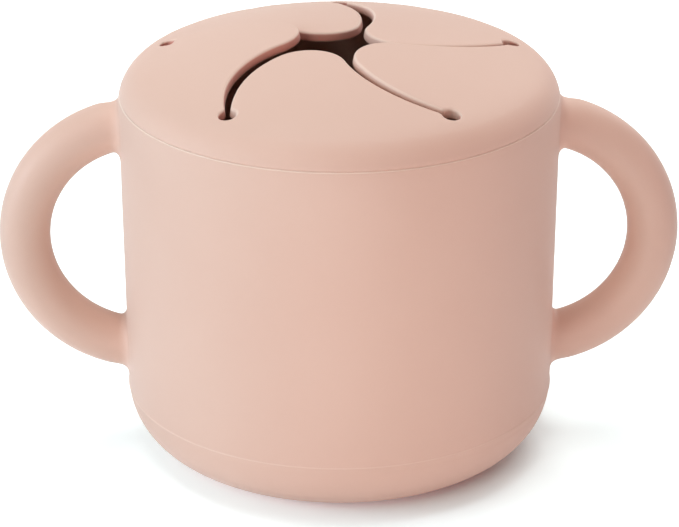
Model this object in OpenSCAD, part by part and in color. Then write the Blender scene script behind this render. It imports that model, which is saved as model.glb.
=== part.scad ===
// Toddler snack container: a soft cup with two moulded handles, and a domed push-in lid
// whose five curved flaps spring shut behind a reaching hand.
// The origin is on the table, at the middle of the base. The handles lie along X, and the front is -Y.

/* [Cup] */
// Outer width of the cup at its shoulder
cup_d = 90; // [76:1:108]
// Height of the rim that the lid rests on
cup_h = 76.6; // [64:0.2:92]
// Lean of the side wall, in degrees, that lets the cup leave its mould
draft = 0.65; // [0.3:0.05:1.2]
// Thickness of the side wall
wall = 3; // [2.4:0.1:3.8]
// Thickness of the floor
floor_t = 4; // [3:0.1:6]
// Radius of the rounded edge of the base
base_round = 13.4; // [10:0.2:16]
// Width of the flat ring that the cup stands on
foot_w = 3; // [2:0.5:6]
// Depth of the shallow recess inside that ring
foot_recess = 0.8; // [0.4:0.1:1.5]
// Height of the line where the two halves of the mould meet
parting_z = 13; // [10:0.5:20]
// Depth of the step left along that line
parting_step = 0.12; // [0.05:0.01:0.3]

/* [Handles] */
// Thickness of a handle, which is round
handle_d = 10.5; // [8:0.5:12]
// Radius of the arc along the middle of a handle
handle_bend = 24.6; // [20:0.2:28]
// Height of the middle of a handle
handle_z = 45.4; // [38:0.2:52]
// How far the middle of that arc lies inside the cup's outer wall
handle_inset = 4.6; // [2:0.2:8]
// Radius of the soft corner where a handle meets the wall
root_round = 1.8; // [1.2:0.1:3]

/* [Lid] */
// Height of the middle of the lid above the rim
lid_h = 11.1; // [9:0.1:14]
// Radius of the sphere that the top of the lid is part of
dome_r = 144.5; // [110:0.5:200]
// Radius of the rounded edge between the dome and the side wall
edge_round = 7.6; // [5:0.1:10]
// Size of the small bevel on both sides of the seam
seam_bevel = 0.35; // [0.2:0.05:0.6]
// How far the plug reaches down into the cup
plug_h = 11; // [8:0.5:16]
// Thickness of the plug
plug_t = 1.8; // [1.4:0.1:2.4]
// Gap between the plug and the inside of the cup
plug_gap = 0.5; // [0.3:0.05:0.8]
// Thickness of a sealing rib on the plug, which is half round
rib_d = 2; // [1.4:0.1:3]
// Gap left between a rib and the inside of the cup
rib_gap = 0.05; // [0.03:0.01:0.1]
// Size of the bevels that guide the plug into the cup
lead_in = 0.6; // [0.3:0.1:1]

/* [Flaps] */
// Thickness of the flaps and of the lid around them
flap_t = 2; // [1.6:0.1:2.6]
// Width of the relief hole at the outer end of each slit
hole_d = 3.8; // [3.8:0.1:4.6]
// Distance from a relief hole to the inside of the plug
hole_margin = 0.7; // [0.5:0.1:6]
// How far a slit bows to one side on its way from its hole to the middle
slit_bow = 6.7; // [4:0.1:9]
// Width of a slit
slit_w = 0.8; // [0.7:0.05:1.4]
// Radius of the rounded tip of a flap
tip_round = 8; // [5:0.1:9]
// Width of the soft strip that a flap bends along
hinge_w = 3; // [2.6:0.1:3]
// Turn of the lid in the cup, in degrees, seen from above
lid_turn = -1.5; // [-36:0.5:36]
// Upward set of the flap at the back right, in degrees
back_right_set = 0; // [-6:0.5:8]
// Upward set of the flap at the back left, in degrees
back_left_set = -2; // [-6:0.5:8]
// Upward set of the flap at the left, in degrees
left_set = 2.5; // [-6:0.5:8]
// Upward set of the flap at the front, in degrees
front_set = -0.5; // [-6:0.5:8]
// Upward set of the flap at the right, in degrees
right_set = 0; // [-6:0.5:8]

/* [Hidden] */
$fn = 96;
silicone = "#e2bba8";
flaps = 5;
flap_step = 360 / flaps;
first_hole = 18 + lid_turn;
sets = [back_right_set, back_left_set, left_set, front_set, right_set];
cut = 1; // how far cutters run past what they cut

// Cup sizes. The wall leans out from the top of the base curve to the shoulder.
mouth_r = cup_d / 2;
top_z = cup_h + lid_h;
dome_z = top_z - dome_r;
shoulder_z = touch_z(dome_r, edge_round, mouth_r - edge_round);
foot_r = mouth_r - (shoulder_z - base_round) * tan(draft);
inner_round = base_round - wall;
inner_foot_r = wall_r(floor_t + inner_round) - wall;
foot_flat_r = foot_r - base_round;

// Lid sizes
seam_r = cup_h > shoulder_z
    ? mouth_r - edge_round + sqrt(pow(edge_round, 2) - pow(cup_h - shoulder_z, 2))
    : wall_r(cup_h);
plug_r = wall_r(cup_h - plug_h) - wall - plug_gap;
plug_inner_r = plug_r - plug_t;
plug_root_round = 0.8;
rib_places = [0.3, 0.7]; // along the plug, from the rim down

// Slit geometry, in the frame of one flap, whose first relief hole lies along X.
hole_ring_r = plug_inner_r - hole_margin - hole_d / 2;
slit_r = (pow(hole_ring_r / 2, 2) + pow(slit_bow, 2)) / (2 * slit_bow);
out_middle = [hole_ring_r / 2, slit_r - slit_bow];
in_middle = turned(out_middle, flap_step);
out_r = slit_r - slit_w / 2;
in_r = slit_r + slit_w / 2;
tip_middle = crossing(out_middle, out_r - tip_round, in_middle, in_r + tip_round);
hinge_x = hole_ring_r * cos(flap_step / 2);
// The hinge line is straight and the dome is not, so the line runs midway between its high and low points.
hinge_z = (dome_top(hinge_x) + dome_top(hole_ring_r)) / 2 - flap_t / 2;

// Outer radius of the side wall at height z
function wall_r(z) = mouth_r - (shoulder_z - z) * tan(draft);
// Height of the dome's top at distance r from the axis
function dome_top(r) = dome_z + sqrt(pow(dome_r, 2) - r * r);
// Height at which a circle of radius small, centred at distance x, touches a dome of radius big from inside
function touch_z(big, small, x) = dome_z + sqrt(pow(big - small, 2) - x * x);
// Angle at which that circle touches the dome, and the distance from the axis where it does
function touch_angle(big, small, x) = acos(x / (big - small));
function touch_x(big, small, x) = x * big / (big - small);
// Points along a dome of radius r, after the one at distance from up to the one at distance to
function dome_line(r, from, to, steps) =
    [for (i = [1:steps]) let (x = from + (to - from) * i / steps) [x, dome_z + sqrt(r * r - x * x)]];
function turned(p, a) = [p[0] * cos(a) - p[1] * sin(a), p[0] * sin(a) + p[1] * cos(a)];
function bearing(from, to) = atan2(to[1] - from[1], to[0] - from[0]);
// Points of an arc about middle, from one angle to another
function arc(middle, r, from, to, steps) =
    [for (i = [0:steps]) let (a = from + (to - from) * i / steps) middle + r * [cos(a), sin(a)]];
// Where two circles cross, on the left of the line from the first middle to the second
function crossing(m1, r1, m2, r2) =
    let (
        d = norm(m2 - m1),
        along = (d * d + r1 * r1 - r2 * r2) / (2 * d),
        across = sqrt(r1 * r1 - along * along),
        e = (m2 - m1) / d
    ) m1 + e * along + [-e[1], e[0]] * across;

// Outline of one flap with its hinge strip: out along its bowed edge, round the tip, back along its hollow edge
function flap_points() =
    let (
        hole_1 = [hole_ring_r, 0],
        hole_2 = turned(hole_1, flap_step),
        out_from = bearing(out_middle, hole_1),
        out_to = bearing(out_middle, tip_middle),
        in_from = bearing(in_middle, tip_middle),
        in_to = bearing(in_middle, hole_2),
        tip_from = out_to,
        tip_to = in_from - 180,
        outward = (hinge_w / 2 + cut) * [cos(flap_step / 2), sin(flap_step / 2)],
        out_edge = arc(out_middle, out_r, out_from, out_to, 16),
        tip = arc(tip_middle, tip_round, tip_from, tip_to, 14),
        in_edge = arc(in_middle, in_r, in_from, in_to, 16)
    )
    concat(
        [out_edge[0] + outward], out_edge, tip, in_edge, [in_edge[16] + outward]
    );

// Half outline of the cup's outside, from the axis at the table up to the dome
function cup_outline() =
    concat(
        [[0, 0]],
        arc([foot_flat_r, base_round], base_round, -90, -8, 12),
        [
            [wall_r(parting_z) - parting_step, parting_z],
            [wall_r(parting_z), parting_z]
        ],
        shoulder_outline()
    );

// The rounded shoulder, from the side wall to where it meets the dome
function shoulder_outline() =
    let (x = mouth_r - edge_round)
    arc([x, shoulder_z], edge_round, 0, touch_angle(dome_r, edge_round, x), 12);

module revolved(points) {
    rotate_extrude($fn = 180) polygon(points);
}

// Small diamond along the seam, which bevels the rim and the lower edge of the lid alike
module seam_cutter() {
    rotate_extrude($fn = 180) translate([seam_r, cup_h]) circle(r = seam_bevel, $fn = 4);
}

// The cup's outside as a solid body, up to the top of the lid
module cup_outside() {
    revolved(concat(cup_outline(), [[0, top_z]]));
}

module cup() color(silicone) {
    difference() {
        intersection() {
            cup_outside();
            cylinder(r = cup_d, h = cup_h);
        }
        cup_hollow();
        foot_hollow();
        seam_cutter();
    }
}

// What the cup holds: the wall and the floor keep their thickness
module cup_hollow() {
    revolved(concat(
        [[0, floor_t]],
        arc([inner_foot_r - inner_round, floor_t + inner_round], inner_round, -90, 0, 10),
        [
            [wall_r(cup_h - lead_in) - wall, cup_h - lead_in],
            [wall_r(cup_h) - wall + lead_in, cup_h],
            [wall_r(cup_h) - wall + lead_in, cup_h + cut],
            [0, cup_h + cut]
        ]
    ));
}

module foot_hollow() {
    r = foot_flat_r - foot_w;
    revolved([[0, -cut], [r + cut, -cut], [r - foot_recess, foot_recess], [0, foot_recess]]);
}

// A ring of round section with soft corners, of which only the part outside the cup is kept
module handle() color(silicone) {
    root_angle = asin(handle_inset / handle_bend);
    difference() {
        intersection() {
            translate([mouth_r - handle_inset, 0, handle_z]) {
                rotate([90, 0, 0])
                    rotate_extrude($fn = 180) translate([handle_bend, 0]) circle(d = handle_d, $fn = 48);
                for (low = [0, 1]) mirror([0, 0, low]) rotate([0, root_angle, 0])
                    translate([0, 0, handle_bend]) rotate([0, 90, 0]) handle_root();
            }
            cylinder(r = cup_d, h = cup_h);
        }
        cup_outside();
        seam_cutter();
    }
}

// The soft corner round one end of a handle, turned about the handle's own line
module handle_root() {
    r = handle_d / 2;
    sunk = 0.15; // keeps the thin end of the corner just under the handle's surface
    // The wall curves away beside the handle, so the corner starts where the wall is at its far edge.
    back = mouth_r - sqrt(pow(mouth_r, 2) - pow(r + root_round, 2));
    translate([0, 0, -back]) rotate_extrude($fn = 72) polygon(concat(
        [[0, back - wall], [r + root_round - sunk, back - wall]],
        [for (p = arc([r + root_round, root_round], root_round, 270, 180, 8)) p - [sunk, 0]],
        [[0, root_round]]
    ));
}

// Cut that opens the middle of the lid, with its five corners under the relief holes
module flap_opening() {
    corner_r = (hinge_x + hinge_w / 2) / cos(flap_step / 2);
    rotate([0, 0, first_hole]) translate([0, 0, cup_h]) cylinder(r = corner_r, h = lid_h + cut, $fn = flaps);
}

module relief_holes() {
    for (i = [0:flaps - 1]) rotate([0, 0, first_hole + i * flap_step])
        translate([hole_ring_r, 0, cup_h]) cylinder(d = hole_d, h = lid_h + cut, $fn = 48);
}

// The rim of the lid: a domed ring that rests on the cup, with a plug and its sealing ribs below
module lid_ring() color(silicone) {
    difference() {
        union() {
            revolved(ring_outline());
            for (place = rib_places) sealing_rib(cup_h - place * plug_h);
        }
        flap_opening();
        relief_holes();
        seam_cutter();
    }
}

// Section of the ring: up the plug, out over the rim, up the shoulder, in along the dome, and back below it
function ring_outline() =
    let (
        plug_end_z = cup_h - plug_h,
        out_x = mouth_r - edge_round,
        in_x = plug_inner_r - plug_root_round,
        in_r = dome_r - flap_t,
        edge_x = hinge_x - cut
    )
    concat(
        [
            [plug_inner_r, plug_end_z],
            [plug_r - lead_in, plug_end_z],
            [plug_r, plug_end_z + 2 * lead_in],
            [plug_r, cup_h],
            [seam_r, cup_h]
        ],
        [for (p = shoulder_outline()) if (p[1] > cup_h + seam_bevel) p],
        dome_line(dome_r, touch_x(dome_r, edge_round, out_x), edge_x, 6),
        dome_line(in_r, edge_x + cut / 2, touch_x(in_r, plug_root_round, in_x), 6),
        arc([in_x, touch_z(in_r, plug_root_round, in_x)], plug_root_round, touch_angle(in_r, plug_root_round, in_x), 0, 5)
    );

// One half-round rib, which just clears the leaning wall at its own height
module sealing_rib(z) {
    r = wall_r(z) - wall - rib_gap - rib_d / 2;
    rotate_extrude($fn = 180) translate([r, z]) circle(d = rib_d, $fn = 24);
}

// The part of the dome that lies over one flap and its hinge strip
module flap_sheet() {
    intersection() {
        translate([0, 0, dome_z]) difference() {
            sphere(r = dome_r, $fn = 360);
            sphere(r = dome_r - flap_t, $fn = 360);
        }
        translate([0, 0, cup_h]) linear_extrude(lid_h + cut) polygon(flap_points());
    }
}

// Places its children in the frame of a hinge: X runs outward from the middle, Y along the hinge line
module at_hinge() {
    rotate([0, 0, flap_step / 2]) translate([hinge_x, 0, hinge_z]) children();
}

// All that lies on the middle's side of the hinge strip
module inner_side() {
    at_hinge() translate([-hinge_w / 2 - 2 * hole_ring_r, -hole_ring_r, -lid_h])
        cube([2 * hole_ring_r, 2 * hole_ring_r, 2 * lid_h]);
}

// Turns its children up about the hinge line
module set_up(angle) {
    rotate([0, 0, flap_step / 2]) translate([hinge_x, 0, hinge_z]) rotate([0, angle, 0])
        translate([-hinge_x, 0, -hinge_z]) rotate([0, 0, -flap_step / 2]) children();
}

module flap(i) color(silicone) {
    rotate([0, 0, first_hole + i * flap_step]) set_up(sets[i]) intersection() {
        flap_sheet();
        inner_side();
    }
}

module hinge(i) color(silicone) {
    difference() {
        rotate([0, 0, first_hole + i * flap_step]) difference() {
            intersection() {
                flap_sheet();
                at_hinge() translate([-hinge_w, -hole_ring_r, -lid_h])
                    cube([hinge_w + hinge_w / 2, 2 * hole_ring_r, 2 * lid_h]);
            }
            set_up(sets[i]) inner_side();
        }
        relief_holes();
    }
}

cup();
mirror([1, 0, 0]) handle();  // left_handle
handle();  // right_handle
lid_ring();
flap(0);  // back_right_flap
flap(1);  // back_left_flap
flap(2);  // left_flap
flap(3);  // front_flap
flap(4);  // right_flap
hinge(0);  // back_right_hinge
hinge(1);  // back_left_hinge
hinge(2);  // left_hinge
hinge(3);  // front_hinge
hinge(4);  // right_hinge
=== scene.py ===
import math

import bmesh
import bpy
from mathutils import Matrix, Vector


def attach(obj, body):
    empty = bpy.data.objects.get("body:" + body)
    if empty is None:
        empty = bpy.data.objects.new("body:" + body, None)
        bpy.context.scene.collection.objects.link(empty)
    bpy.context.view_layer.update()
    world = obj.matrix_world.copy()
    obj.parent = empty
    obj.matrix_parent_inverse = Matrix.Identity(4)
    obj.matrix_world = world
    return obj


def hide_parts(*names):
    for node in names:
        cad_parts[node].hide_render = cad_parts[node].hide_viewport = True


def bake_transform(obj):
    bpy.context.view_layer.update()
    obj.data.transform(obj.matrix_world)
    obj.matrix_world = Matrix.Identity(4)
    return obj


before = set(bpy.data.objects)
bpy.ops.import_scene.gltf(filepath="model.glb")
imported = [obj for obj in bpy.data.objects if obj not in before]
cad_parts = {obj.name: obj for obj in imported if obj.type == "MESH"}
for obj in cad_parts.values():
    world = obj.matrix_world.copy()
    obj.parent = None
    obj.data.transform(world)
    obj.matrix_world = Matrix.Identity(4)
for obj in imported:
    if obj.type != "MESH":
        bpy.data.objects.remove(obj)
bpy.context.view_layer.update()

# Cup
#
# One thick, soft silicone moulding: a round wall that leans out a little, a rounded base that stands
# on a flat ring, and two round handles that grow out of the wall through small soft corners.
# It is modelled in millimetres, as half a cup with one handle, then mirrored and brought to metres.
millimetre = 0.001
mouth_radius = 45.0
rim_height = 76.6
wall_lean = math.tan(math.radians(0.65))
wall_thickness = 3.0
floor_thickness = 4.0
shoulder_round = 7.6
shoulder_height = 74.892
base_round = 13.4
base_flat = 30.9
foot_width = 3.0
foot_recess = 0.8
inner_round = 10.4
parting_height = 13.0
parting_step = 0.12
parting_flash = 0.12
rim_edge_from = 76.32
rim_edge = [(44.68, 76.56), (44.60, 76.59), (44.50, rim_height)]
inner_rows = (74.9, 71, 68, 60, 52, 44, 36, 28, 20)
round_steps = 180

handle_middle = (40.4, 45.4)
handle_bend = 24.6
handle_radius = 5.25
handle_sides = 40
root_columns = 5


def wall_radius(height):
    """Outer radius of the leaning wall, which turns in over the shoulder near the rim"""
    if height <= shoulder_height:
        return mouth_radius - (shoulder_height - height) * wall_lean
    return mouth_radius - shoulder_round + math.sqrt(shoulder_round ** 2 - (height - shoulder_height) ** 2)


def arc_points(middle, radius, start, end, steps):
    """Points of an arc in the (radius, height) plane, with both ends"""
    turn = [math.radians(start + (end - start) * i / steps) for i in range(steps + 1)]
    return [(middle[0] + radius * math.cos(a), middle[1] + radius * math.sin(a)) for a in turn]


def only(piece):
    """Selects one piece alone and makes it active"""
    bpy.ops.object.select_all(action="DESELECT")
    piece.select_set(True)
    bpy.context.view_layer.objects.active = piece


def pick(piece, kind, test):
    """In edit mode, selects just the vertices, edges or faces that pass the test"""
    bpy.ops.mesh.select_mode(type={"verts": "VERT", "edges": "EDGE", "faces": "FACE"}[kind])
    bpy.ops.mesh.select_all(action="DESELECT")
    mesh = bmesh.from_edit_mesh(piece.data)
    for part in getattr(mesh, kind):
        part.select_set(bool(test(part)))
    mesh.select_flush_mode()
    bmesh.update_edit_mesh(piece.data)


def draw_ring(radius, height, outline):
    """Carries the selected ring on along an outline of (radius, height) pairs, as a potter pulls a wall"""
    for next_radius, next_height in outline:
        bpy.ops.mesh.extrude_region_move(TRANSFORM_OT_translate={"value": (0, 0, next_height - height)})
        grow = next_radius / radius
        bpy.ops.transform.resize(value=(grow, grow, 1), center_override=(0, 0, 0))
        radius, height = next_radius, next_height


def finish_mesh(piece, sharp=40):
    """Closes seams, turns faces outward, shades the piece smooth and brings it from millimetres to metres"""
    only(piece)
    bpy.ops.object.mode_set(mode="EDIT")
    bpy.ops.mesh.select_mode(type="VERT")
    bpy.ops.mesh.select_all(action="SELECT")
    bpy.ops.mesh.remove_doubles(threshold=0.0005)
    bpy.ops.mesh.normals_make_consistent(inside=False)
    bpy.ops.object.mode_set(mode="OBJECT")
    piece.scale = (millimetre,) * 3
    bpy.ops.object.transform_apply(location=True, rotation=True, scale=True)
    bpy.ops.object.shade_smooth_by_angle(angle=math.radians(sharp))


# The outline runs from the recess under the foot, round the base, up the wall with the flash that the
# mould left at the parting line, over the rim, and down inside. Behind each end of a handle the rows
# of faces lie close, eleven at the lower end and eleven at the upper.
rows_low = [13.3 + 1.65 * i for i in range(11)]
rows_high = [60.9 + 1.52 * i for i in range(11)]
rows_between = [rows_low[-1] + (rows_high[0] - rows_low[-1]) * i / 16 for i in range(1, 16)]
foot_inner = base_flat - foot_width
flash_rows = (parting_height - 0.2, parting_height - 0.14)
below_flash, above_flash = parting_height - 0.8, parting_height + 0.06
inner_corner = wall_radius(floor_thickness + inner_round) - wall_thickness - inner_round
cup_outline = (
    [(foot_inner - 0.25, foot_recess - 0.2), (foot_inner - 0.1, 0.12), (foot_inner + 0.15, 0), (base_flat, 0)]
    + arc_points((base_flat, base_round), base_round, -84, -8, 19)
    + [(wall_radius(below_flash) - parting_step, below_flash)]
    + [(wall_radius(z) + parting_flash, z) for z in flash_rows]
    + [(wall_radius(above_flash), above_flash)]
    + [(wall_radius(z), z) for z in rows_low + rows_between + rows_high]
    + [(wall_radius(rim_edge_from), rim_edge_from)]
    + rim_edge
    + [(wall_radius(rim_height) - wall_thickness + 0.6, rim_height)]
    + [(wall_radius(rim_height) - wall_thickness + 0.2, rim_height - 0.15)]
    + [(wall_radius(rim_height) - wall_thickness, rim_height - 0.6)]
    + [(wall_radius(z) - wall_thickness, z) for z in inner_rows]
    + arc_points((inner_corner, floor_thickness + inner_round), inner_round, 0, -90, 14)
    + [(24, floor_thickness), (16, floor_thickness), (8, floor_thickness), (2, floor_thickness)]
)
bpy.ops.object.select_all(action="DESELECT")
bpy.ops.mesh.primitive_circle_add(
    vertices=round_steps, radius=foot_inner - 0.9, fill_type="TRIFAN", location=(0, 0, foot_recess)
)
cup = bpy.context.object
cup.name = "cup_moulding"
bpy.ops.object.transform_apply(location=True, rotation=True, scale=True)
bpy.ops.object.mode_set(mode="EDIT")
pick(cup, "edges", lambda e: e.is_boundary)
draw_ring(foot_inner - 0.9, foot_recess, cup_outline)
bpy.ops.mesh.merge(type="CENTER")
pick(cup, "verts", lambda v: v.co.x < -0.001)
bpy.ops.mesh.delete(type="VERT")

# The wall is opened where the two ends of a handle meet it, by a square of ten by ten faces each.
half_angle = math.radians(2 * root_columns)


def root_face(face, low, high):
    middle = face.calc_center_median()
    side = abs(math.atan2(middle.y, middle.x)) < half_angle
    return side and low < middle.z < high and middle.xy.length > mouth_radius - 1.5


pick(cup, "faces", lambda f: root_face(f, rows_low[0], rows_low[-1]) or root_face(f, rows_high[0], rows_high[-1]))
bpy.ops.mesh.delete(type="FACE")


def on_wall(y, z):
    return Vector((math.sqrt(wall_radius(z) ** 2 - y * y), y, z))


# Each opening is drawn in to a round, on the wall's own surface. The top one stays below the rim.
# A round has its middle height, its lowest and highest row, and its reach upward and downward.
root_reach_aside = 7.05
root_rings = (
    (21.2, rows_low[0], rows_low[-1], 7.8, 7.1),
    (69.57, rows_high[0], rows_high[-1], 6.25, 7.8),
)
for middle_height, low, high, reach_up, reach_down in root_rings:
    def at_opening(edge):
        middle = (edge.verts[0].co + edge.verts[1].co) / 2
        side = abs(math.atan2(middle.y, middle.x)) < half_angle + 0.001
        return edge.is_boundary and side and low - 0.01 < middle.z < high + 0.01 and middle.x > 0

    pick(cup, "edges", at_opening)
    bpy.ops.mesh.extrude_region_move(TRANSFORM_OT_translate={"value": (0, 0, 0)})
    mesh = bmesh.from_edit_mesh(cup.data)
    ring = [v for v in mesh.verts if v.select]
    middle = Vector((0, (low + high) / 2))
    ring.sort(key=lambda v: math.atan2(v.co.z - middle.y, v.co.y))
    for i, vertex in enumerate(ring):
        turn = -math.pi + 2 * math.pi * (i + 0.5) / len(ring)
        reach = reach_up if turn > 0 else reach_down
        vertex.co = on_wall(root_reach_aside * math.cos(turn), middle_height + reach * math.sin(turn))
    bmesh.update_edit_mesh(cup.data)
bpy.ops.object.mode_set(mode="OBJECT")

# The handle is a round bar, bent by spinning its section about the middle of the bend.
start_turn, end_turn = 18.5, 17.0
bpy.ops.object.select_all(action="DESELECT")
bpy.ops.mesh.primitive_circle_add(
    vertices=handle_sides,
    radius=handle_radius,
    location=(
        handle_middle[0] + handle_bend * math.sin(math.radians(start_turn)),
        0,
        handle_middle[1] + handle_bend * math.cos(math.radians(start_turn)),
    ),
    rotation=(0, math.radians(90 + start_turn), 0),
)
handle = bpy.context.object
bpy.ops.object.transform_apply(location=True, rotation=True, scale=True)
bpy.ops.object.mode_set(mode="EDIT")
bpy.ops.mesh.select_all(action="SELECT")
bpy.ops.mesh.spin(
    steps=64,
    angle=math.radians(180 - start_turn - end_turn),
    center=(handle_middle[0], 0, handle_middle[1]),
    axis=(0, -1, 0),
)
bpy.ops.object.mode_set(mode="OBJECT")
only(cup)
handle.select_set(True)
bpy.ops.object.join()
bpy.ops.object.mode_set(mode="EDIT")
for upper in (False, True):
    def at_root(edge):
        middle = (edge.verts[0].co + edge.verts[1].co) / 2
        near = middle.x > 20 and abs(middle.y) < 9 and 10 < middle.z < 76.4
        return edge.is_boundary and near and (middle.z > 50) == upper

    pick(cup, "edges", at_root)
    bpy.ops.mesh.bridge_edge_loops(number_cuts=8, interpolation="SURFACE", smoothness=0.75)
bpy.ops.object.mode_set(mode="OBJECT")
only(cup)
mirror = cup.modifiers.new("other half", "MIRROR")
mirror.use_clip = True
mirror.merge_threshold = 0.001
bpy.ops.object.modifier_apply(modifier=mirror.name)
finish_mesh(cup)


def put_node(tree, kind, sockets=None, **settings):
    """Adds a node to a tree; each socket named is given a plain value, or the socket that feeds it"""
    node = tree.nodes.new("ShaderNode" + kind)
    for name, value in settings.items():
        setattr(node, name, value)
    for name, value in (sockets or {}).items():
        if isinstance(value, bpy.types.NodeSocket):
            tree.links.new(value, node.inputs[name])
        else:
            node.inputs[name].default_value = value
    return node


def combine(tree, first, second, operation="ADD"):
    """Adds two values, or joins them by another operation of the Math node"""
    return put_node(tree, "Math", {0: first, 1: second}, operation=operation).outputs[0]


def fade(tree, value, start, end):
    """Falls from one to nothing as a value goes from start to end, which may also run the other way"""
    sockets = {"Value": value, "From Min": start, "From Max": end, "To Min": 1.0, "To Max": 0.0}
    return put_node(tree, "MapRange", sockets, interpolation_type="SMOOTHSTEP").outputs["Result"]


# The skin of moulded silicone: the mould's blasted walls leave a fine grain that scatters the light,
# and the pigment is never quite even. Sizes are those of the grain and of the clouds in the pigment.
skin = bpy.data.node_groups.new("moulded_skin", "ShaderNodeTree")
for name, kind in (("Colour", "Color"), ("Cloud Colour", "Color"), ("Roughness", "Float"), ("Grain Scale", "Float")):
    skin.interface.new_socket(name=name, in_out="INPUT", socket_type="NodeSocket" + kind)
for name, kind in (("Colour", "Color"), ("Roughness", "Float"), ("Height", "Float")):
    skin.interface.new_socket(name=name, in_out="OUTPUT", socket_type="NodeSocket" + kind)
given = skin.nodes.new("NodeGroupInput").outputs
place = put_node(skin, "TexCoord").outputs["Object"]
clouds = put_node(skin, "TexNoise", {"Vector": place, "Scale": 24, "Detail": 2, "Roughness": 0.45}).outputs[0]
mottle = put_node(skin, "TexNoise", {"Vector": place, "Scale": 700, "Detail": 3, "Roughness": 0.6}).outputs[0]
grain = put_node(skin, "TexNoise", {"Vector": place, "Scale": given["Grain Scale"], "Detail": 2}).outputs[0]
pits = put_node(skin, "TexVoronoi", {"Vector": place, "Scale": given["Grain Scale"]}).outputs["Distance"]
uneven = combine(skin, fade(skin, clouds, 0.66, 0.34), combine(skin, mottle, 0.3, "MULTIPLY"), "ADD")
blend = put_node(
    skin, "Mix", {0: uneven, 6: given["Cloud Colour"], 7: given["Colour"]}, data_type="RGBA", clamp_factor=True
)
worn = combine(skin, combine(skin, mottle, 0.14, "MULTIPLY"), combine(skin, clouds, 0.1, "MULTIPLY"))
dull = combine(skin, combine(skin, given["Roughness"], worn), 0.12, "SUBTRACT")
height = combine(skin, combine(skin, grain, 0.7, "MULTIPLY"), combine(skin, pits, 0.3, "MULTIPLY"))
result = skin.nodes.new("NodeGroupOutput")
for name, socket in (("Colour", blend.outputs[2]), ("Roughness", dull), ("Height", height)):
    skin.links.new(socket, result.inputs[name])


# Painted shade and painted highlight. Hollows, and the slit walls marked for it, are painted a deep red,
# which stands in for shade and for light glowing red through the silicone; the lips of the slits are
# painted paler, a painted highlight. A point counts as a hollow by how much open sky there is within a
# reach: none below the first share, full above the other.
painted_shade_red = (0.86, 0.27, 0.21, 1)
painted_highlight_colour = (0.86, 0.66, 0.56, 1)
painted_shade_reach = 0.003
painted_shade_sky = (0.05, 0.42)
wall_shade_strength = 0.8
lip_highlight_strength = 0.6


def silicone(name, colour, cloud_colour, roughness, grain_scale):
    """A soft matte silicone: its material, its shader, the node that gives its skin, and its colour"""
    material = bpy.data.materials.new(name)
    material.use_nodes = True
    tree = material.node_tree
    shader = tree.nodes["Principled BSDF"]
    shader.inputs["IOR"].default_value = 1.41
    shader.inputs["Sheen Weight"].default_value = 0.15
    shader.inputs["Sheen Roughness"].default_value = 0.5
    sockets = {"Colour": colour, "Cloud Colour": cloud_colour, "Roughness": roughness, "Grain Scale": grain_scale}
    coat = put_node(tree, "Group", node_tree=skin)
    for socket, value in sockets.items():
        coat.inputs[socket].default_value = value
    # Painted shade: where there is little open sky, or on slit walls marked for shade, the colour goes to a deep
    # red. Painted highlight: on the slit lips the colour first goes paler.
    open_sky = put_node(tree, "AmbientOcclusion", {"Distance": painted_shade_reach}, samples=12).outputs["AO"]
    wall_shade_mask = put_node(tree, "Attribute", attribute_name="slit_wall_shade").outputs["Fac"]
    wall_shade_share = combine(tree, wall_shade_mask, wall_shade_strength, "MULTIPLY")
    depth = combine(tree, fade(tree, open_sky, *painted_shade_sky), wall_shade_share, "MAXIMUM")
    lip_highlight_mask = put_node(tree, "Attribute", attribute_name="slit_lip_highlight").outputs["Fac"]
    lip = combine(tree, lip_highlight_mask, lip_highlight_strength, "MULTIPLY")
    pale = put_node(tree, "Mix", {0: lip, 6: coat.outputs["Colour"], 7: painted_highlight_colour}, data_type="RGBA").outputs[2]
    sockets = {0: depth, 6: pale, 7: painted_shade_red}
    colour = put_node(tree, "Mix", sockets, data_type="RGBA").outputs[2]
    tree.links.new(colour, shader.inputs["Base Color"])
    tree.links.new(coat.outputs["Roughness"], shader.inputs["Roughness"])
    return material, shader, coat, colour


blush = (0.730, 0.488, 0.400, 1)
blush_cloud = (0.714, 0.468, 0.382, 1)
cup_silicone, shader, coat, colour = silicone("cup_silicone", blush, blush_cloud, 0.56, 4200)
tree = cup_silicone.node_tree
place = put_node(tree, "TexCoord").outputs["Object"]
where = put_node(tree, "SeparateXYZ", {0: place}).outputs
# The two halves of the outer mould meet along the handles, where they leave a hair-thin line.
off_middle = put_node(tree, "Math", {0: where["Y"]}, operation="ABSOLUTE").outputs[0]
out_from_middle = put_node(tree, "Math", {0: where["X"]}, operation="ABSOLUTE").outputs[0]
on_outside = fade(tree, out_from_middle, 0.0428, 0.0424)
mould_line = combine(tree, fade(tree, off_middle, 0.00008, 0.0002), on_outside, "MULTIPLY")
relief = combine(tree, coat.outputs["Height"], mould_line)
bump = put_node(tree, "Bump", {"Strength": 0.5, "Distance": 0.00004, "Height": relief})
tree.links.new(bump.outputs["Normal"], shader.inputs["Normal"])
# Hands polish the outside of the handles, and the ring that the cup stands on is scuffed pale.
handled = combine(tree, fade(tree, out_from_middle, 0.064, 0.052), 0.07, "MULTIPLY")
satin = combine(tree, coat.outputs["Roughness"], handled, "SUBTRACT")
tree.links.new(satin, shader.inputs["Roughness"])
scratches = put_node(tree, "TexNoise", {"Vector": place, "Scale": 4000, "Detail": 4, "Roughness": 0.7}).outputs[0]
scuffed = combine(tree, fade(tree, where["Z"], 0.0002, 0.0009), fade(tree, scratches, 0.62, 0.5), "MULTIPLY")
scuff_colour = (0.79, 0.62, 0.55, 1)
scuffs = put_node(tree, "Mix", {0: scuffed, 6: colour, 7: scuff_colour}, data_type="RGBA")
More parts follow.
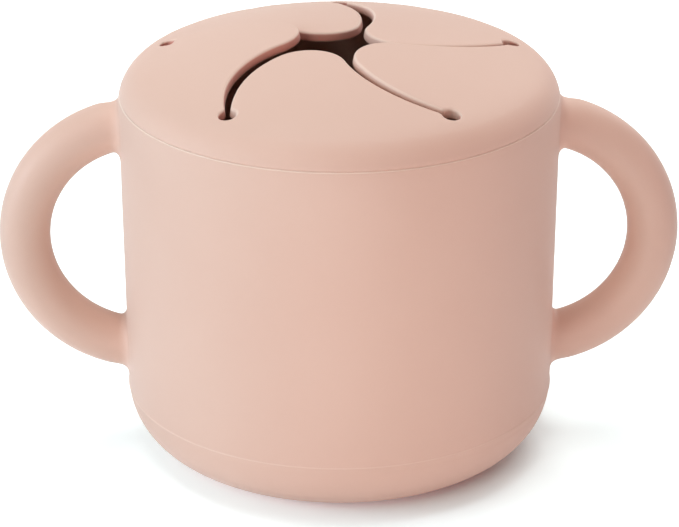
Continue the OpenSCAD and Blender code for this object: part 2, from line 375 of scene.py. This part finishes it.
# The rim's edge and the flash of the parting line catch the light as thin lines, and are also painted paler: a
# painted highlight.
flash_middle = (parting_height - 0.05) * millimetre
off_flash = combine(tree, where["Z"], flash_middle, "SUBTRACT")
off_flash = put_node(tree, "Math", {0: off_flash}, operation="ABSOLUTE").outputs[0]
flash_highlight = combine(tree, fade(tree, off_flash, 0.00005, 0.00016), 0.35, "MULTIPLY")
edge_highlight_share = combine(tree, fade(tree, where["Z"], 0.07635, 0.07627), flash_highlight, "MAXIMUM")
with_edge_highlight = put_node(tree, "Mix", {0: edge_highlight_share, 6: scuffs.outputs[2], 7: painted_highlight_colour}, data_type="RGBA")
tree.links.new(with_edge_highlight.outputs[2], shader.inputs["Base Color"])
cup.data.materials.append(cup_silicone)
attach(cup, "cup")
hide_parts("cup", "left_handle", "right_handle")

# Lid
#
# One soft silicone moulding too. Its domed top is cut by five bowed slits into five flaps that meet
# in a small star, and each slit ends in a round hole, so that it can't tear further. One fifth of the
# top is modelled flat, as if on a cutting mat, its edges are rounded, and it is pressed into the dome.
dome_radius = 144.5
dome_middle = 87.7 - dome_radius
sheet_thickness = 2.0
sheet_reach = 41.5
sheet_reach_below = 39.2
hole_ring = 36.995
hole_radius = 1.8
slit_bow = 6.7
slit_gap = 1.0
slit_lean = 0.35
tip_round = 8.0
neck_round = 1.4
lip_round = 0.55
lip_round_below = 0.4
flap_step = 72
hinge_line = hole_ring * math.cos(math.radians(flap_step / 2))
hinge_height = 82.725
hinge_half = 1.4


def lid_top(radius):
    """Height of the lid's top, first over the dome and then over the rounded shoulder"""
    flat = (mouth_radius - shoulder_round) * dome_radius / (dome_radius - shoulder_round)
    if radius <= flat:
        return dome_middle + math.sqrt(dome_radius ** 2 - radius ** 2)
    return shoulder_height + math.sqrt(shoulder_round ** 2 - (radius - mouth_radius + shoulder_round) ** 2)


def smooth_step(value, start, end):
    share = min(1, max(0, (value - start) / (end - start)))
    return share * share * (3 - 2 * share)


def bearing(start, end):
    return math.degrees(math.atan2(end.y - start.y, end.x - start.x))


def crossing(middle_1, radius_1, middle_2, radius_2):
    """Where two circles cross, on the left of the line from the first middle to the second"""
    line = middle_2 - middle_1
    along = (line.length_squared + radius_1 ** 2 - radius_2 ** 2) / (2 * line.length)
    across = math.sqrt(radius_1 ** 2 - along ** 2)
    line.normalize()
    return middle_1 + line * along + Vector((-line.y, line.x)) * across


def sweep(middle, radius, start, end, clockwise, step):
    """Points of an arc in the plane of the sheet, about one every step millimetres"""
    turn = (start - end) % 360 if clockwise else (end - start) % 360
    count = max(3, round(math.radians(turn) * radius / step))
    sign = -1 if clockwise else 1
    angles = [math.radians(start + sign * turn * i / count) for i in range(count + 1)]
    return [middle + radius * Vector((math.cos(a), math.sin(a))) for a in angles]


slit_radius = ((hole_ring / 2) ** 2 + slit_bow ** 2) / (2 * slit_bow)
hole_1 = Vector((hole_ring, 0))
bow_1 = Vector((hole_ring / 2, slit_radius - slit_bow))
next_fifth = Matrix.Rotation(math.radians(flap_step), 2)
hole_2 = next_fifth @ hole_1
bow_2 = next_fifth @ bow_1
edge_1 = slit_radius - slit_gap / 2
edge_2 = slit_radius + slit_gap / 2
neck_1 = crossing(hole_1, hole_radius + neck_round, bow_1, edge_1 - neck_round)
neck_2 = crossing(hole_2, hole_radius + neck_round, bow_2, edge_2 + neck_round)
tip = crossing(bow_1, edge_1 - tip_round, bow_2, edge_2 + tip_round)
fifth_outline = (
    sweep(hole_1, hole_radius, 0, bearing(hole_1, neck_1), False, 0.4)
    + sweep(neck_1, neck_round, bearing(neck_1, hole_1), bearing(bow_1, neck_1), True, 0.3)
    + sweep(bow_1, edge_1, bearing(bow_1, neck_1), bearing(bow_1, tip), True, 1.0)
    + sweep(tip, tip_round, bearing(bow_1, tip), bearing(tip, bow_2), True, 0.7)
    + sweep(bow_2, edge_2, bearing(bow_2, tip), bearing(bow_2, neck_2), False, 1.0)
    + sweep(neck_2, neck_round, bearing(neck_2, bow_2), bearing(neck_2, hole_2), True, 0.3)
    + sweep(hole_2, hole_radius, bearing(hole_2, neck_2), flap_step, False, 0.4)
    + [sheet_reach * Vector((math.cos(math.radians(a)), math.sin(math.radians(a)))) for a in range(72, -1, -2)]
)
fifth_outline = [p for i, p in enumerate(fifth_outline) if (p - fifth_outline[i - 1]).length > 0.001]
to_middle = Matrix.Rotation(math.radians(-flap_step / 2), 2)
bpy.ops.object.select_all(action="DESELECT")
bpy.ops.mesh.primitive_circle_add(vertices=len(fifth_outline), fill_type="NGON")
fifth = bpy.context.object
for vertex, point in zip(fifth.data.vertices, fifth_outline):
    vertex.co = (to_middle @ point).to_3d()
bpy.ops.object.mode_set(mode="EDIT")
bpy.ops.mesh.select_all(action="SELECT")
bpy.ops.mesh.extrude_region_move(TRANSFORM_OT_translate={"value": (0, 0, -sheet_thickness)})
bpy.ops.object.mode_set(mode="OBJECT")
# The walls of a moulded slit lean towards each other, so that the slit is narrow only at the bottom.
edge_way = {}
for i, point in enumerate(fifth_outline):
    if point.length < hole_ring + hole_radius - 0.001:
        along = (fifth_outline[i + 1] - fifth_outline[i - 1]).normalized()
        lean = slit_lean * smooth_step(point.length, hole_ring + 1.6, hole_ring)
        edge_way[i] = Vector((-along.y, along.x)) * lean
for vertex in fifth.data.vertices:
    for i, way in edge_way.items():
        if vertex.co.z < -1 and (vertex.co.xy - (to_middle @ fifth_outline[i])).length < 0.001:
            vertex.co.xy += to_middle @ way
            break
bpy.ops.object.mode_set(mode="EDIT")
bpy.ops.mesh.select_all(action="SELECT")
bpy.ops.mesh.normals_make_consistent(inside=False)
for height, size, segments in ((0, lip_round, 8), (-sheet_thickness, lip_round_below, 3)):
    pick(fifth, "edges", lambda e: all(abs(v.co.z - height) < 0.001 and v.co.xy.length < 40 for v in e.verts))
    bpy.ops.mesh.bevel(offset=size, segments=segments, profile=0.5, affect="EDGES", clamp_overlap=False)
pick(fifth, "verts", lambda v: v.co.z < -1.9 and v.co.xy.length > 41)
shrink = sheet_reach_below / sheet_reach
bpy.ops.transform.resize(value=(shrink, shrink, 1), center_override=(0, 0, 0))
side_angle = math.radians(flap_step / 2)


def at_joint(face):
    """The faces where one fifth meets the next, and those all round outside"""
    side = all(abs(abs(math.atan2(v.co.y, v.co.x)) - side_angle) < 0.0001 for v in face.verts)
    reach = [v.co.xy.length for v in face.verts]
    return side or (min(reach) > sheet_reach_below - 0.1 and max(reach) > 41)


pick(fifth, "faces", at_joint)
bpy.ops.mesh.delete(type="FACE")

# Cross cuts every two millimetres give the sheet enough points to take the curve of the dome.
for i in range(-4, 23):
    bpy.ops.mesh.select_all(action="SELECT")
    bpy.ops.mesh.bisect(plane_co=(2 * i + 0.6, 0, 0), plane_no=(1, 0, 0), threshold=0.0001)
for i in range(-13, 13):
    bpy.ops.mesh.select_all(action="SELECT")
    bpy.ops.mesh.bisect(plane_co=(0, 2 * i + 1, 0), plane_no=(0, 1, 0), threshold=0.0001)
bpy.ops.object.mode_set(mode="OBJECT")


# The lips and the walls of the slits are marked for the material by their depth under the top of the
# sheet, the lips for a painted highlight and the walls for painted shade, and the sheet is pressed into the dome.
slit_lip_highlight = fifth.data.attributes.new("slit_lip_highlight", "FLOAT", "POINT")
slit_wall_shade = fifth.data.attributes.new("slit_wall_shade", "FLOAT", "POINT")
for vertex in fifth.data.vertices:
    depth = -vertex.co.z
    slit_wall_shade.data[vertex.index].value = smooth_step(depth, 0.12, 0.8) * (1 - smooth_step(depth, 1.5, 1.9))
    slit_lip_highlight.data[vertex.index].value = smooth_step(depth, 0.01, 0.1) * (1 - smooth_step(depth, 0.35, 0.7))
    vertex.co.z += lid_top(vertex.co.xy.length)


def part_of_fifth(name, keep_flap):
    """A copy of the fifth, cut along its hinge line, with the flap's side or the rim's side kept"""
    piece = fifth.copy()
    piece.data = fifth.data.copy()
    piece.name = name
    bpy.context.collection.objects.link(piece)
    only(piece)
    bpy.ops.object.mode_set(mode="EDIT")
    bpy.ops.mesh.select_all(action="SELECT")
    bpy.ops.mesh.bisect(
        plane_co=(hinge_line + hinge_half, 0, 0),
        plane_no=(1, 0, 0),
        use_fill=True,
        clear_outer=keep_flap,
        clear_inner=not keep_flap,
        threshold=0.0001,
    )
    bpy.ops.object.mode_set(mode="OBJECT")
    return piece


# The rim of the lid: five outer parts joined, then drawn out over the shoulder to the seam, in under
# the rim, down the plug with its two sealing ribs, and back up inside the plug to the underside.
lid_rim = part_of_fifth("lid_rim", False)
first_hole = 16.5
fifths = [lid_rim]
for i in range(1, 5):
    copy = lid_rim.copy()
    copy.data = lid_rim.data.copy()
    bpy.context.collection.objects.link(copy)
    fifths.append(copy)
for i, copy in enumerate(fifths):
    copy.rotation_euler.z = math.radians(first_hole + flap_step * (i + 0.5))
only(lid_rim)
for copy in fifths:
    copy.select_set(True)
bpy.ops.object.transform_apply(location=True, rotation=True, scale=True)
bpy.ops.object.join()
bpy.ops.object.mode_set(mode="EDIT")
bpy.ops.mesh.select_all(action="SELECT")
bpy.ops.mesh.remove_doubles(threshold=0.002)

plug_bottom = 65.6
plug_gap = 0.5
plug_thickness = 1.8
rib_radius = 1.0
rib_gap = 0.05
plug_radius = wall_radius(plug_bottom) - wall_thickness - plug_gap
plug_inner = plug_radius - plug_thickness
seam_edge = [(44.70, 76.70), (44.67, 76.64), (44.60, rim_height + 0.005), (44.45, rim_height + 0.005)]
shoulder_middle = (mouth_radius - shoulder_round, shoulder_height)
shoulder_end = 14.6
shoulder_turn = math.degrees(math.acos((sheet_reach - mouth_radius + shoulder_round) / shoulder_round))


def rib(height):
    """A half-round rib that just clears the cup's wall at its own height"""
    middle = wall_radius(height) - wall_thickness - rib_gap - rib_radius
    turn = math.degrees(math.acos((plug_radius - middle) / rib_radius))
    return arc_points((middle, height), rib_radius, turn, -turn, 8)


rim_outline = (
    arc_points(shoulder_middle, shoulder_round, shoulder_turn, shoulder_end, 12)[1:]
    + seam_edge
    + [(plug_radius + 0.3, rim_height), (plug_radius + 0.08, rim_height - 0.08), (plug_radius, rim_height - 0.3)]
    + rib(rim_height - 3.3)
    + rib(rim_height - 7.7)
    + [(plug_radius, 66.8), (plug_radius - 0.5, 65.8), (plug_radius - 0.8, plug_bottom)]
    + [(plug_inner + 0.3, plug_bottom)]
    + [(plug_inner + 0.05, 65.7), (plug_inner, 66.0), (plug_inner, 69), (plug_inner, 74), (plug_inner, 79.3)]
)
pick(lid_rim, "edges", lambda e: e.is_boundary and all(v.co.xy.length > 41 for v in e.verts))
draw_ring(sheet_reach, lid_top(sheet_reach), rim_outline)
outside = sheet_reach_below - 0.05
pick(lid_rim, "edges", lambda e: e.is_boundary and all(v.co.xy.length > outside for v in e.verts))
bpy.ops.mesh.bridge_edge_loops(number_cuts=3, interpolation="SURFACE", smoothness=0.8)
bpy.ops.mesh.select_all(action="SELECT")
bpy.ops.mesh.fill_holes(sides=0)
bpy.ops.object.mode_set(mode="OBJECT")
finish_mesh(lid_rim)
lid_silicone, shader, coat, colour = silicone("lid_silicone", blush, blush_cloud, 0.58, 4600)
tree = lid_silicone.node_tree
bump = put_node(tree, "Bump", {"Strength": 0.5, "Distance": 0.00004, "Height": coat.outputs["Height"]})
tree.links.new(bump.outputs["Normal"], shader.inputs["Normal"])
lid_rim.data.materials.append(lid_silicone)
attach(lid_rim, "lid")
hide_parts("lid_ring")

# Flaps
#
# The five flaps are one with the rim and bend along a soft strip between two holes. After some use
# none rests just where it was moulded: the left and the right one sit high, the back left one and the
# front one low, and some have crept outward or aside. Each has its set upward in degrees, its slip
# outward and aside in millimetres, and how much painted shade its slit walls show, a deep red that is
# strong where the walls face away from the light.
flap_shape = part_of_fifth("flap_shape", True)
flap_rest = {
    "back_right": (0, 0, 0, 0.2),
    "back_left": (-2, 0.9, 1.4, 1.0),
    "left": (2.5, 1.3, -0.7, 1.0),
    "front": (-0.5, 0, 0.3, 0.0),
    "right": (1.6, 0.4, 0.25, 0.1),
}
slip_reach = 3.0
for i, (name, (set_up, slip_out, slip_aside, wall_shade_amount)) in enumerate(flap_rest.items()):
    flap = flap_shape.copy()
    flap.data = flap_shape.data.copy()
    flap.name = name + "_flap_sheet"
    bpy.context.collection.objects.link(flap)
    for vertex in flap.data.vertices:
        inward = hinge_line + hinge_half - vertex.co.x
        turn = math.radians(set_up) * smooth_step(inward, 0, 2 * hinge_half)
        arm = Vector((vertex.co.x - hinge_line, vertex.co.z - hinge_height))
        vertex.co.x = hinge_line + arm.x * math.cos(turn) + arm.y * math.sin(turn)
        vertex.co.z = hinge_height - arm.x * math.sin(turn) + arm.y * math.cos(turn)
        slip = 1 - math.exp(-max(0, inward - hinge_half) / slip_reach)
        vertex.co.x += slip_out * slip
        vertex.co.y += slip_aside * slip
        # The painted shade on the slit walls is scaled for each flap: full where they face away from the light.
        flap.data.attributes["slit_wall_shade"].data[vertex.index].value *= wall_shade_amount
    bearing_out = math.radians(first_hole + flap_step * (i + 0.5))
    flap.rotation_euler.z = bearing_out
    only(flap)
    bpy.ops.object.transform_apply(location=True, rotation=True, scale=True)
    finish_mesh(flap)
    flap.data.materials.append(lid_silicone)
    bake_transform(flap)
    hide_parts(name + "_flap", name + "_hinge")
for spare in (fifth, flap_shape):
    bpy.data.objects.remove(spare)

# Camera, floor and light
#
# A plain photo table: a white sweep, with large soft boxes above, low on the left, in front on the
# left and behind on the right. A low warm one on the right and a small warm card in front of the base
# stand for light that things around throw back.
camera_data = bpy.data.cameras.new("camera")
camera_data.lens = 172.2
camera_data.sensor_width = 36
camera = bpy.data.objects.new("camera", camera_data)
bpy.context.collection.objects.link(camera)
camera.location = (-0.0161, -0.6196, 0.3083)
camera.rotation_euler = (math.radians(66.45), 0, math.radians(-1.49))
bpy.context.scene.camera = camera

bpy.ops.object.select_all(action="DESELECT")
bpy.ops.mesh.primitive_plane_add(size=6, location=(0, 0, -0.00002))
floor = bpy.context.object
floor.name = "studio_floor"


def seen_white(tree):
    """One for rays from the camera and for those by way of gloss or glass"""
    rays = put_node(tree, "LightPath").outputs
    gloss = combine(tree, rays["Is Glossy Ray"], rays["Is Transmission Ray"], "MAXIMUM")
    return combine(tree, rays["Is Camera Ray"], gloss, "MAXIMUM")


floor_white = (0.88, 0.97, 1.0, 1)
lift_tint = (0.92, 1.0, 1.0, 1)
floor_lift = 0.48
far_lift = 0.5
shadow_reach = 0.016
sweep_paper = bpy.data.materials.new("white_sweep")
sweep_paper.use_nodes = True
tree = sweep_paper.node_tree
shader = tree.nodes["Principled BSDF"]
shader.inputs["Base Color"].default_value = floor_white
shader.inputs["Roughness"].default_value = 0.9
shader.inputs["Specular IOR Level"].default_value = 0.0
shader.inputs["Emission Color"].default_value = lift_tint
place = put_node(tree, "TexCoord").outputs["Object"]
across = put_node(tree, "SeparateXYZ", {"Vector": place}).outputs["X"]
from_middle = put_node(tree, "VectorMath", {0: place}, operation="LENGTH").outputs["Value"]
# The paper is lit past white. For the camera it glows a little, a painted white that is stronger far away.
# Close to the cup, mostly on the right, the glow is taken away, which paints a darker shadow over the real one.
near_cup = put_node(tree, "AmbientOcclusion", {"Distance": shadow_reach}, samples=12).outputs["AO"]
painted_floor_shadow = combine(tree, fade(tree, near_cup, 0.05, 0.75), fade(tree, across, 0.035, -0.045), "MULTIPLY")
far_white = fade(tree, from_middle, 1.2, 0.25)
lift = combine(tree, floor_lift, combine(tree, far_white, far_lift, "MULTIPLY"))
lift = combine(tree, lift, combine(tree, 1.0, painted_floor_shadow, "SUBTRACT"), "MULTIPLY")
lift = combine(tree, seen_white(tree), lift, "MULTIPLY")
tree.links.new(lift, shader.inputs["Emission Strength"])
floor.data.materials.append(sweep_paper)

room_tint = (1.0, 0.95, 0.93, 1)
room_level = 0.02
world = bpy.data.worlds.new("studio")
bpy.context.scene.world = world
world.use_nodes = True
tree = world.node_tree
room = tree.nodes["Background"]
room.inputs["Color"].default_value = room_tint
room.inputs["Strength"].default_value = room_level
backdrop = put_node(tree, "Background", {"Color": (1, 1, 1, 1), "Strength": 1.0})
choice = put_node(tree, "MixShader", {0: seen_white(tree), 1: room.outputs[0], 2: backdrop.outputs[0]})
tree.links.new(choice.outputs[0], tree.nodes["World Output"].inputs["Surface"])

soft_boxes = {
    "low_left": ((-1.15, -0.25, 0.30), 0.50, 7.3, (0.76, 0.90, 1.0)),
    "front_left": ((-0.60, -1.00, 0.55), 0.60, 3.0, (1.0, 1.0, 0.95)),
    "top": ((-0.10, 0.15, 1.20), 0.80, 9.9, (0.98, 1.0, 0.98)),
    "back_right": ((0.55, 0.85, 0.80), 0.70, 5.0, (0.97, 1.0, 0.98)),
    "right_low": ((1.05, -0.55, 0.20), 0.50, 2.9, (1.0, 0.52, 0.46)),
    "card_front": ((0.0, -0.26, 0.018), 0.03, 0.125, (1.0, 0.84, 0.80)),
}
cup_middle = Vector((0, 0, 0.045))
for name, (place, size, power, tint) in soft_boxes.items():
    lamp = bpy.data.lights.new(name, "AREA")
    lamp.size = size
    lamp.energy = power
    lamp.color = tint
    box = bpy.data.objects.new(name, lamp)
    bpy.context.collection.objects.link(box)
    box.location = place
    box.rotation_euler = (cup_middle - Vector(place)).to_track_quat("-Z", "Y").to_euler()

bpy.context.scene.view_settings.view_transform = "Standard"
